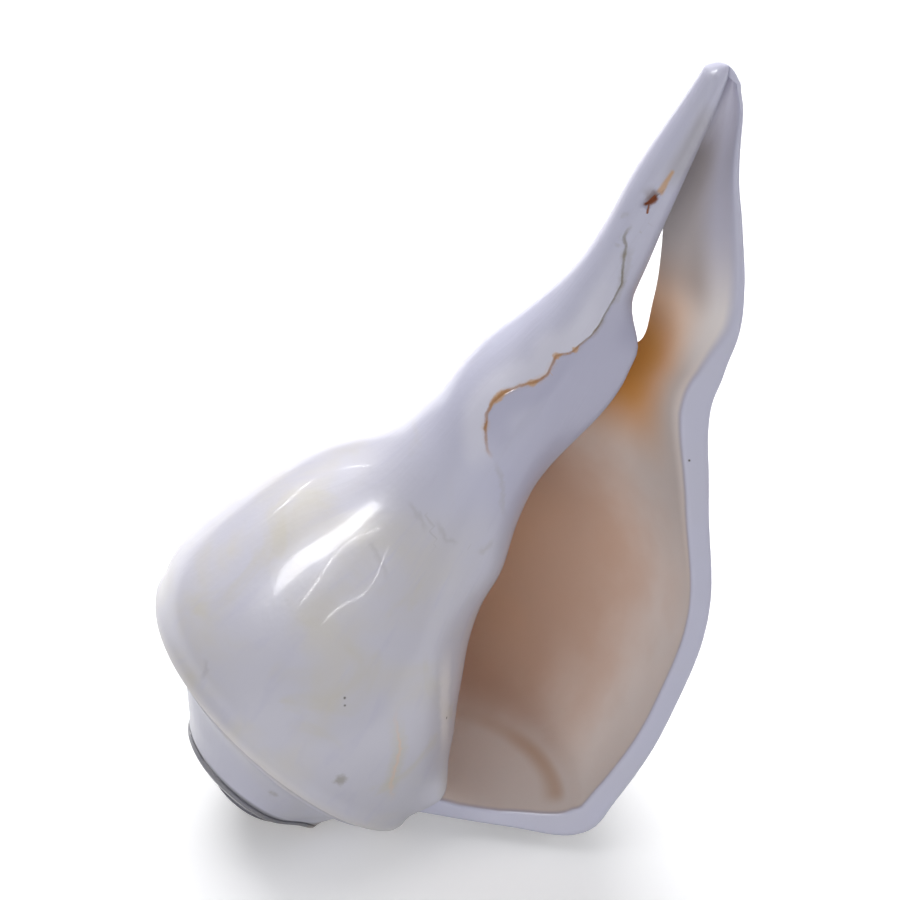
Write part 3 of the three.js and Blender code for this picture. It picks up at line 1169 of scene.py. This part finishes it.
@dataclass(frozen=True)
class ShellFinish:
    """Polished shell: cool white outside with cream clouds, peach in the mouth, amber in the throat.

    Places are given as along and turns, sizes and depths behind the lip in millimetres. Runs are shares
    of a mark's line. The sizes of spots and pits are their reach and how ragged they are. Three or four
    numbers together are a span and then the values at its ends, and where there is only one value, it
    falls from that to nothing.
    """

    name: str = "polished_shell"
    white: Colour = (0.61, 0.60, 0.68, 1.0)
    cool: Colour = (0.58, 0.58, 0.725, 1.0)
    cream: Colour = (0.63, 0.60, 0.57, 1.0)
    lavender: Colour = (0.55, 0.54, 0.66, 1.0)
    # The next two colours are the painted shade on the plate and the painted light on the glaze beside the
    # crack.
    plate_shade_lilac: Colour = (0.48, 0.475, 0.62, 1.0)
    glaze_light_milk: Colour = (0.74, 0.73, 0.83, 1.0)
    pale: Colour = (0.98, 0.925, 0.90, 1.0)
    peach: Colour = (0.74, 0.52, 0.41, 1.0)
    brown: Colour = (0.88, 0.54, 0.34, 1.0)
    tan: Colour = (0.60, 0.36, 0.19, 1.0)
    amber: Colour = (0.73, 0.34, 0.085, 1.0)
    rust: Colour = (0.42, 0.20, 0.07, 1.0)
    dark: Colour = (0.25, 0.07, 0.024, 1.0)
    soot: Colour = (0.09, 0.08, 0.07, 1.0)
    moss: Colour = (0.27, 0.24, 0.19, 1.0)
    straw: Colour = (0.60, 0.56, 0.45, 1.0)
    grey: Colour = (0.42, 0.40, 0.42, 1.0)
    # Colour of the painted shade in the canal and in the upper part of the mouth.
    shade_dun: Colour = (0.45, 0.40, 0.385, 1.0)
    # Colour of the painted contact shade near the floor and of the painted shade on the slope into the
    # chink.
    shade_umber: Colour = (0.21, 0.14, 0.10, 1.0)
    # Colour of the painted shade on the spire's end.
    spire_shade_slate: Colour = (0.13, 0.128, 0.146, 1.0)

    gloss: float = 0.31
    satin: float = 0.38
    satin_depth: Span = (0.0, 6.0)
    worn: Mottle = Mottle(160.0, (0.3, 0.8), (-0.03, 0.07), 4.0)
    glaze: float = 0.3
    glaze_roughness: float = 0.075
    ripple_scale: float = 640.0
    ripple_share: float = 0.6
    ripple_strength: float = 0.14
    ripple_height: float = 0.4

    clouds: Mottle = Mottle(38.0, (0.44, 0.66), (0.0, 0.8), 3.0, 0.8)
    patches: Mottle = Mottle(62.0, (0.52, 0.72), (0.0, 0.4), 4.0, 1.2)
    growth_scales: Pair = (60.0, 0.9)
    growth_detail: float = 4.0
    growth_distortion: float = 0.4
    growth_tint: tuple[float, ...] = (0.52, 0.75, 0.0, 0.4)
    cool_neck: Span = (5.6, 8.0)
    cool_lip: Span = (0.0, 0.01)
    cool_ramp: tuple[float, ...] = (1.4, 1.8, 0.6)
    cool_most: float = 0.85
    # Painted light: the keel band is made paler where it faces the light.
    keel_light_band: Zone = Zone((1.74, 1.86), (2.05, 2.45), 0.55, turns_in=(0.5, 0.6))
    # Painted shade in the thin groove below the keel.
    seam_shade: Zone = Zone((1.59, 1.67), (1.71, 1.79), 0.5, turns_in=(0.5, 0.6))
    # Painted shade on the pillar's rounded edge where it rolls into the canal.
    canal_edge_shade: Zone = Zone((12.0, 12.3), (12.55, 12.8), 0.6, turns_in=(0.66, 0.76))
    # Painted shade on the plate below the crack, and painted light on the raised glaze above it.
    plate: Zone = Zone((7.0, 7.8), (10.4, 11.4), turns_in=(0.74, 0.86))
    plate_shade: float = 0.75
    glaze_light: float = 0.7
    beside: Span = (0.3, 0.72)
    beside_runs: tuple[Span, Span] = ((0.1, 0.4), (0.9, 1.05))
    beside_edge: Span = (-0.3, 0.3)
    # Painted shade: the spire's end is darkened where it faces the floor.
    spire_shade_end: tuple[float, ...] = (6.4, 7.3, 0.85)
    spire_tilt: float = 0.06
    # Painted contact shade: the outside turns darker brown towards the floor.
    floor_shade: Span = (0.8, 3.5)
    floor_shade_strength: float = 0.75

    mouth_edge: Span = (0.0, 2.0)
    mouth_mottle: Mottle = Mottle(70.0, (0.3, 0.7), (-3.0, 3.0))
    mouth_shallows: tuple[tuple[float, ...], ...] = ((1.0, 2.2, 9.0), (2.6, 5.0, 8.0))
    peach_depth: Span = (3.0, 34.0)
    brown_depth: Span = (30.0, 64.0)
    canal_cools: tuple[float, ...] = (8.8, 11.2, 0.0, 0.9)
    canal_shade: Zone = Zone((8.7, 9.9), (12.0, 12.9), 0.85, depth_in=(3.0, 7.0))
    # Painted shade in the upper part of the mouth.
    mouth_shade: Zone = Zone((4.8, 6.2), (7.4, 8.6), 0.5, depth_in=(1.0, 5.0), depth_out=(12.0, 32.0))
    throat: Zone = Zone((5.9, 7.2), (7.9, 10.8), depth_in=(3.0, 14.0))
    fold_along: float = 1.7
    fold_turns: float = 0.05
    fold_bend: float = 60.0
    fold_width: float = 0.26
    fold_depths: tuple[Span, Span] = ((3.0, 9.0), (20.0, 34.0))
    fold_strength: float = 0.55

    hairs: Stroke = Stroke(HAIRS, 0.0, 0.8, 0.7, 0.3, 0.32)
    stain: Stroke = Stroke(STAIN, 0.3, 2.2, 0.8, 0.4, 0.45)
    stain_core: Stroke = Stroke(STAIN, 0.0, 0.6, 0.8, 0.4, 0.3)
    edge_strip: Stroke = Stroke(EDGE_STRIP, 0.4, 2.2, 0.6, 0.35, 0.45)
    crack_halo: Stroke = Stroke(CRACK, 0.1, 0.9, 0.3, strength=0.4)
    crack: Stroke = Stroke(CRACK, 0.08, 0.32, 0.25)
    crack_rusts: Span = (0.34, 0.52)
    crack_patches: Mottle = Mottle(260.0, (0.4, 0.65))
    crack_breaks: Span = (0.6, 0.9)
    crust: Stroke = Stroke(CRUST, -0.2, 0.45, 0.3, strength=0.8)
    crust_runs: tuple[Span, Span] = ((0.0, 0.5), (0.5, 1.0))
    crust_swells: float = 0.62
    streak: Stroke = Stroke(STREAK, 0.3, 0.55, 0.15, 0.15, 0.85)
    drip: Stroke = Stroke(DRIP, 0.08, 0.22, 0.1)
    chink: Stroke = Stroke(CHINK, 0.3, 0.4, 0.15, 0.15)
    chink_opens: Span = (0.0, 0.65)
    hollow_off: tuple[Span, Span] = ((-3.0, 0.0), (0.05, 0.3))
    hollow_runs: tuple[Span, Span] = ((-0.1, 0.6), (0.95, 1.25))
    hollow_strength: float = 0.75
    spot_size: Pair = (1.5, 0.8)
    spot_strength: float = 0.6
    spots: tuple[Place, ...] = (
        (-7.3, -20.5, 14.5),
        (-3.5, -21.3, 14.3),
        (2.6, -18.2, 11.5),
        (10.4, -25.2, 24.1),
    )
    pit_size: Pair = (0.35, 0.1)
    pits: tuple[Place, ...] = (
        (18.4, 3.4, 116.1),
        (28.4, 0.0, 97.8),
        (3.2, -25.6, 37.1),
        (3.9, -25.6, 36.0),
        (19.6, -8.3, 37.7),
    )

    def make(self, standing: Standing) -> bpy.types.Material:
        """Builds the material.

        Args:
            standing: takes places in the growth frame to the row frame.

        Returns:
            The material.
        """
        bench = Bench(self.name)
        depth = bench.read("depth")
        within = bench.rise(depth, *self.mouth_edge)
        colour = bench.blend(within, self.outside(bench, standing), self.inside(bench, depth))
        colour = self.marked(bench, colour)
        colour = self.spotted(bench, colour, standing)
        polish = bench.rise(depth, *self.satin_depth, self.gloss, self.satin)
        bench.feed(bench.shader.inputs["Base Color"], colour)
        bench.feed(bench.shader.inputs["Roughness"], bench.maths("ADD", polish, bench.mottle(self.worn)))
        bench.feed(bench.shader.inputs["Coat Weight"], self.glaze)
        bench.feed(bench.shader.inputs["Coat Roughness"], self.glaze_roughness)
        bench.feed(bench.shader.inputs["Normal"], self.ripples(bench))
        return bench.material

    def growth_lines(self, bench: Bench) -> Socket:
        """Noise drawn out along the lip, as the shell laid itself down.

        Args:
            bench: the material's bench.

        Returns:
            The noise, from 0 to 1.
        """
        across, down = self.growth_scales
        feeds = {0: bench.times(bench.read("turns"), across), 1: bench.times(bench.read("along"), down)}
        place = bench.node("ShaderNodeCombineXYZ", feeds).outputs[0]
        return bench.noise(place, 1.0, self.growth_detail, self.growth_distortion)

    def outside(self, bench: Bench, standing: Standing) -> Socket:
        """The colour of the outside and the lip.

        White with clouds and straw patches is laid first, then the cooler neck, lip and ramp, the growth
        lines, painted shade on the plate and painted light on the glaze beside the crack, the pale strip,
        painted light on the keel, painted shade in the seam below it and on the canal's rolled edge,
        painted shade on the end of the spire and painted contact shade, darker brown towards the floor.

        Args:
            bench: the material's bench.
            standing: takes places in the growth frame to the row frame.

        Returns:
            The colour.
        """
        colour = bench.blend(bench.mottle(self.clouds), self.white, self.cream)
        colour = bench.blend(bench.mottle(self.patches), colour, self.straw)
        colour = bench.blend(self.cool_parts(bench), colour, self.cool)
        lines = bench.rise(self.growth_lines(bench), *self.growth_tint)
        colour = bench.blend(lines, colour, self.lavender)
        colour = self.light_and_shade_by_crack(bench, colour)
        colour = bench.blend(bench.line(self.edge_strip), colour, self.pale)
        # Painted light: the keel band is paler where it faces the light.
        colour = bench.blend(bench.zone(self.keel_light_band), colour, self.pale)
        # Painted shade: grey in the groove below the keel.
        colour = bench.blend(bench.zone(self.seam_shade), colour, self.grey)
        # Painted shade: grey where the pillar's edge rolls into the canal.
        colour = bench.blend(bench.zone(self.canal_edge_shade), colour, self.grey)
        # Painted shade: the spire's end is darkened to slate towards the floor.
        spire = bench.fall(self.height(bench, standing), *self.spire_shade_end)
        colour = bench.blend(spire, colour, self.spire_shade_slate)
        # Painted contact shade: darker brown towards the floor.
        low = bench.node("ShaderNodeSeparateXYZ", {0: bench.place}).outputs["Z"]
        floor_shade = bench.fall(low, *(edge * MM for edge in self.floor_shade), self.floor_shade_strength)
        return bench.blend(floor_shade, colour, self.shade_umber)

    def cool_parts(self, bench: Bench) -> Socket:
        """Where the outside is cooler: on the neck, the lip and the ramp beside the suture.

        Args:
            bench: the material's bench.

        Returns:
            The share of the cooler colour at each place.
        """
        along = bench.read("along")
        cooler = bench.maths("ADD", bench.rise(along, *self.cool_neck), bench.fall(along, *self.cool_ramp))
        cooler = bench.maths("ADD", cooler, bench.fall(bench.read("turns"), *self.cool_lip))
        return bench.maths("MINIMUM", cooler, self.cool_most)

    def light_and_shade_by_crack(self, bench: Bench, colour: Feed) -> Socket:
        """Paints light on the raised glaze above the crack and paints shade on the plate below it.

        Args:
            bench: the material's bench.
            colour: the colour so far.

        Returns:
            The colour with both.
        """
        held = bench.hump(bench.read("crack_run"), *self.beside_runs)
        near = bench.times(bench.near(CRACK, self.beside), held)
        above = bench.times(near, bench.rise(bench.read("crack_off"), *self.beside_edge))
        plate = bench.times(bench.zone(self.plate), bench.maths("SUBTRACT", 1.0, above))
        below = bench.maths("MAXIMUM", plate, bench.maths("SUBTRACT", near, above))
        # Painted shade on the plate below the crack.
        colour = bench.blend(bench.times(below, self.plate_shade), colour, self.plate_shade_lilac)
        # Painted light on the raised glaze above the crack.
        return bench.blend(bench.times(above, self.glaze_light), colour, self.glaze_light_milk)

    def height(self, bench: Bench, standing: Standing) -> Socket:
        """The distance from the apex along an axis tilted a little from the coiling axis.

        Args:
            bench: the material's bench.
            standing: takes places in the growth frame to the row frame.

        Returns:
            The distance at each place, in millimetres.
        """
        axis = standing.turn @ np.array([self.spire_tilt, 0.0, 1.0])
        feeds = {0: bench.place, 1: tuple(axis / MM)}
        along = bench.node("ShaderNodeVectorMath", feeds, operation="DOT_PRODUCT").outputs["Value"]
        return bench.maths("SUBTRACT", along, float(np.array(standing.place) @ axis))

    def inside(self, bench: Bench, depth: Feed) -> Socket:
        """The colour of the mouth and the canal.

        Args:
            bench: the material's bench.
            depth: depth behind the lip.

        Returns:
            The colour.
        """
        along = bench.read("along")
        deep = bench.maths("ADD", depth, bench.mottle(self.mouth_mottle))
        for shallow in self.mouth_shallows:
            deep = bench.maths("SUBTRACT", deep, bench.fall(along, *shallow))
        colour = bench.blend(bench.rise(deep, *self.peach_depth), self.pale, self.peach)
        colour = bench.blend(bench.rise(deep, *self.brown_depth), colour, self.brown)
        colour = bench.blend(bench.rise(along, *self.canal_cools), colour, self.lavender)
        colour = bench.blend(bench.zone(self.canal_shade), colour, self.shade_dun)
        # Painted shade: darker dun in the upper part of the mouth.
        colour = bench.blend(bench.zone(self.mouth_shade), colour, self.shade_dun)
        colour = bench.blend(bench.zone(self.throat), colour, self.amber)
        return bench.blend(self.fold(bench, along, depth), colour, self.tan)

    def fold(self, bench: Bench, along: Feed, depth: Feed) -> Socket:
        """The soft curved band low in the mouth.

        Args:
            bench: the material's bench.
            along: place along the outline.
            depth: depth behind the lip.

        Returns:
            The share of the band at each place.
        """
        behind = bench.maths("SUBTRACT", bench.read("turns"), self.fold_turns)
        bent = bench.times(bench.maths("POWER", behind, 2.0), self.fold_bend)
        off = bench.maths("SUBTRACT", bench.maths("ADD", along, bent), self.fold_along)
        band = bench.fall(bench.maths("ABSOLUTE", off), 0.0, self.fold_width)
        return bench.times(band, bench.hump(depth, *self.fold_depths, self.fold_strength))

    def marked(self, bench: Bench, colour: Feed) -> Socket:
        """Draws the hairlines, the stain, the crack with its crust and the chink with its streak and drip.

        Args:
            bench: the material's bench.
            colour: the colour so far.

        Returns:
            The colour with the marks on it.
        """
        colour = bench.blend(bench.line(self.hairs), colour, self.grey)
        colour = bench.blend(bench.line(self.stain), colour, self.straw)
        colour = bench.blend(bench.line(self.stain_core), colour, self.brown)
        patchy = bench.mottle(self.crack_patches)
        rusty = bench.rise(bench.read("crack_run"), *self.crack_rusts)
        halo = bench.times(bench.line(self.crack_halo), patchy)
        colour = bench.blend(halo, colour, bench.blend(rusty, self.moss, self.tan))
        swell = bench.hump(bench.read("crust_run"), *self.crust_runs, self.crust_swells)
        crust = bench.line(self.crust, bench.maths("ADD", swell, self.crust.width))
        colour = bench.blend(crust, colour, self.tan)
        thin = bench.times(bench.line(self.crack), bench.rise(patchy, 0.0, 1.0, *self.crack_breaks))
        colour = bench.blend(thin, colour, bench.blend(rusty, self.moss, self.rust))
        narrowing = bench.fall(bench.read("streak_run"), 0.0, 1.0, self.streak.width)
        colour = bench.blend(bench.line(self.streak, narrowing), colour, self.tan)
        colour = bench.blend(self.hollow(bench), colour, self.shade_umber)
        colour = bench.blend(bench.line(self.drip), colour, self.dark)
        opening = bench.rise(bench.read("chink_run"), *self.chink_opens, 0.0, self.chink.width)
        return bench.blend(bench.line(self.chink, opening), colour, self.dark)

    def hollow(self, bench: Bench) -> Socket:
        """The shade on the slope that falls into the chink.

        Args:
            bench: the material's bench.

        Returns:
            The share of the shade at each place.
        """
        slope = bench.hump(bench.read("chink_off"), *self.hollow_off, self.hollow_strength)
        held = bench.hump(bench.read("chink_run"), *self.hollow_runs)
        return bench.times(slope, held, bench.near(CHINK, bench.near_mark))

    def spotted(self, bench: Bench, colour: Feed, standing: Standing) -> Socket:
        """Sets the spots and the pits on the colour.

        Args:
            bench: the material's bench.
            colour: the colour so far.
            standing: takes places in the growth frame to the row frame.

        Returns:
            The colour with the spots and the pits.
        """
        for place in self.spots:
            spot = bench.spot(tuple(standing.put(np.array(place))), *self.spot_size)
            colour = bench.blend(bench.times(spot, self.spot_strength), colour, self.moss)
        for place in self.pits:
            pit = bench.spot(tuple(standing.put(np.array(place))), *self.pit_size)
            colour = bench.blend(pit, colour, self.soot)
        return colour

    def ripples(self, bench: Bench) -> Socket:
        """The fine ripples left in the polish.

        Args:
            bench: the material's bench.

        Returns:
            The rippled normal.
        """
        fine = bench.times(bench.noise(bench.place, self.ripple_scale), self.ripple_share)
        height = bench.maths("ADD", fine, self.growth_lines(bench))
        feeds = {"Strength": self.ripple_strength, "Distance": self.ripple_height * MM, "Height": height}
        return bench.node("ShaderNodeBump", feeds).outputs["Normal"]


@dataclass(frozen=True)
class SoftBox:
    """One oblong light that faces the shell: where it hangs in degrees, its power and its sides in metres.

    A box that doesn't fill leaves dull surfaces alone, and one that doesn't glint isn't seen in glossy
    ones.
    """

    name: str
    azimuth: float
    elevation: float
    power: float
    sides: Pair = (0.7, 0.7)
    fills: bool = True
    glints: bool = False

    def hang(self, aim: Vector, distance: float) -> None:
        """Makes the light and turns it to the shell.

        Args:
            aim: the place that it faces.
            distance: how far from there it hangs.
        """
        data = bpy.data.lights.new(self.name, "AREA")
        data.shape = "RECTANGLE"
        data.size, data.size_y = self.sides
        data.energy = self.power
        lamp = bpy.data.objects.new(self.name, data)
        bpy.context.scene.collection.objects.link(lamp)
        turn, rise = math.radians(self.azimuth), math.radians(self.elevation)
        way = Vector((math.cos(turn) * math.cos(rise), math.sin(turn) * math.cos(rise), math.sin(rise)))
        lamp.location = aim + way * distance
        lamp.rotation_euler = way.to_track_quat("Z", "Y").to_euler()
        lamp.visible_diffuse = self.fills
        lamp.visible_glossy = self.glints


SOFT_BOXES = (
    SoftBox("back", 98.0, 36.0, 24.0, (1.2, 0.9)),
    SoftBox("top", 180.0, 84.0, 1.5),
    SoftBox("front", 250.0, 8.0, 8.0, (1.2, 0.5)),
    SoftBox("right", 0.0, 12.0, 5.5),
    SoftBox("glint", 186.0, 68.0, 8.4, (0.26, 0.56), fills=False, glints=True),
    SoftBox("glint_strip", 231.0, 71.0, 1.3, (0.014, 0.5), fills=False, glints=True),
    SoftBox("right_strip", 286.0, 53.0, 0.9, (0.5, 0.012), fills=False, glints=True),
    SoftBox("back_strip", 126.0, 27.5, 0.5, (0.26, 0.012), fills=False, glints=True),
)


@dataclass
class Studio:
    """The plain pale floor, the soft lights and the camera.

    Sizes and places are in metres, and the sensor's width is in millimetres.
    """

    floor_size: float = 6.0
    floor_colour: Colour = (0.92, 0.92, 0.93, 1.0)
    floor_glow: float = 0.28
    floor_roughness: float = 0.9
    sky_colour: Colour = (0.96, 0.97, 1.0, 1.0)
    sky_heights: Span = (-0.3, 0.5)
    sky_strengths: Span = (0.04, 0.24)
    box_distance: float = 1.2
    elevation: float = math.radians(38.5)
    distance: float = 1.2
    view_width: float = 0.15255
    sensor: float = 36.0
    farthest: float = 20.0
    aim: Place = (0.00092, 0.00413, 0.06630)

    def build(self) -> None:
        """Makes the floor, the lights and the camera."""
        self.floor()
        self.sky()
        for box in SOFT_BOXES:
            box.hang(Vector(self.aim), self.box_distance)
        self.camera()

    def floor(self) -> None:
        """Lays the floor."""
        deselect()
        bpy.ops.mesh.primitive_plane_add(size=self.floor_size)
        floor = bpy.context.object
        floor.name = "floor"
        paper = bpy.data.materials.new("floor_paper")
        paper.use_nodes = True
        shader = paper.node_tree.nodes["Principled BSDF"]
        shader.inputs["Base Color"].default_value = self.floor_colour
        shader.inputs["Emission Color"].default_value = self.floor_colour
        shader.inputs["Emission Strength"].default_value = self.floor_glow
        shader.inputs["Roughness"].default_value = self.floor_roughness
        floor.data.materials.append(paper)
        floor.visible_diffuse = False

    def sky(self) -> None:
        """Sets the faint light all round, brighter above."""
        world = bpy.data.worlds.new("studio")
        bpy.context.scene.world = world
        world.use_nodes = True
        nodes, links = world.node_tree.nodes, world.node_tree.links
        sky = nodes["Background"]
        sky.inputs["Color"].default_value = self.sky_colour
        way = nodes.new("ShaderNodeTexCoord")
        parts = nodes.new("ShaderNodeSeparateXYZ")
        links.new(way.outputs["Generated"], parts.inputs["Vector"])
        height = nodes.new("ShaderNodeMapRange")
        height.interpolation_type = "SMOOTHSTEP"
        ends = (*self.sky_heights, *self.sky_strengths)
        for name, value in zip(("From Min", "From Max", "To Min", "To Max"), ends):
            height.inputs[name].default_value = value
        links.new(parts.outputs["Z"], height.inputs["Value"])
        links.new(height.outputs["Result"], sky.inputs["Strength"])

    def camera(self) -> None:
        """Sets the camera at the photograph's angle."""
        data = bpy.data.cameras.new("camera")
        data.sensor_width = self.sensor
        data.lens = self.sensor * self.distance / self.view_width
        data.clip_end = self.farthest
        camera = bpy.data.objects.new("camera", data)
        bpy.context.scene.collection.objects.link(camera)
        back = Vector((0.0, -math.cos(self.elevation), math.sin(self.elevation)))
        camera.location = Vector(self.aim) + back * self.distance
        camera.rotation_euler = back.to_track_quat("Z", "Y").to_euler()
        bpy.context.scene.camera = camera
        bpy.context.scene.view_settings.view_transform = "Standard"


def main() -> None:
    """Builds the shell and the studio."""
    logging.basicConfig(level=logging.INFO)
    grown = Shell()
    shell = grown.build()
    shell.data.materials.clear()
    shell.data.materials.append(ShellFinish().make(grown.standing))
    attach(shell, "root")
    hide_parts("shell")
    LOG.info("conch_shell: %d vertices, %d faces", len(shell.data.vertices), len(shell.data.polygons))
    Studio().build()


if __name__ == "__main__":
    main()
